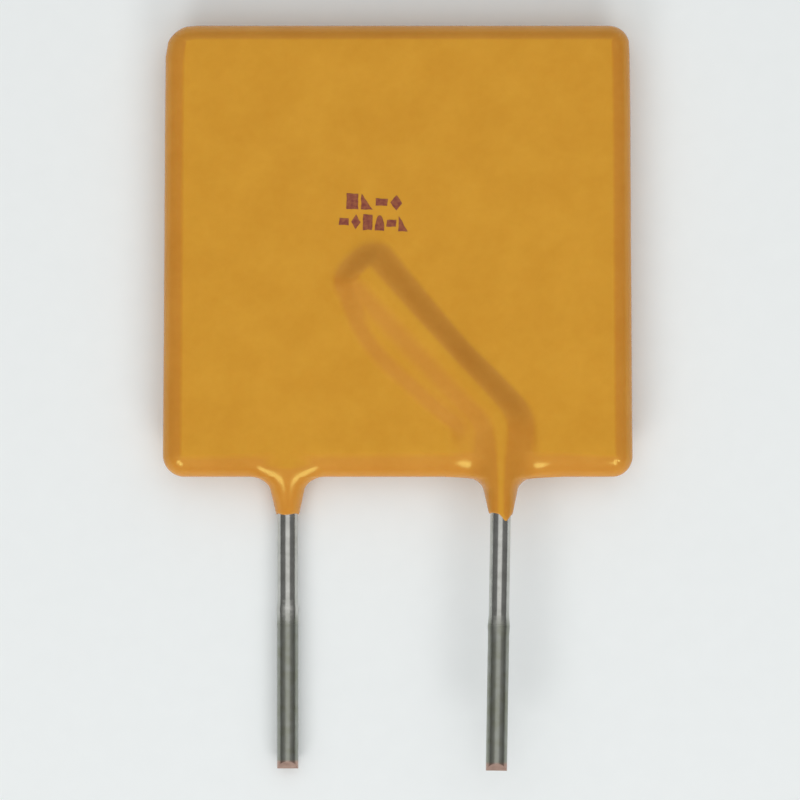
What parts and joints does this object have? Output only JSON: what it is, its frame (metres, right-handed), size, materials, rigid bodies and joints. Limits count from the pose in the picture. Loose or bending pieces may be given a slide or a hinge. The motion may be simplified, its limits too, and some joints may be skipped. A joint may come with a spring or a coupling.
{
  "type": "resettable fuse",
  "caption": "Flat square epoxy-coated resettable fuse with a diagonal lead ridge on each face and straight round leads for through-hole mounting.",
  "frame": {"origin": "middle of the part seen from above, at the height of the surface that it lies on", "axes": "+X across the body from the back lead to the front lead, +Y along the leads towards the body, +Z out of the front face; the part lies on its back"},
  "size_m": [0.0224, 0.0356, 0.0032],
  "materials": {
    "coating": "glossy dipped epoxy, orange-yellow",
    "polymer": "matt black carbon-filled polymer",
    "foil": "dull nickel plating",
    "lead": "tinned copper wire, satin",
    "solder": "bright tin solder"
  },
  "bodies": {
    "root": {"coating": "coating", "polymer_chip": "polymer", "front_foil": "foil", "back_foil": "foil", "front_lead": "lead", "back_lead": "lead", "front_solder": "solder", "back_solder": "solder"}
  },
  "joints": []
}
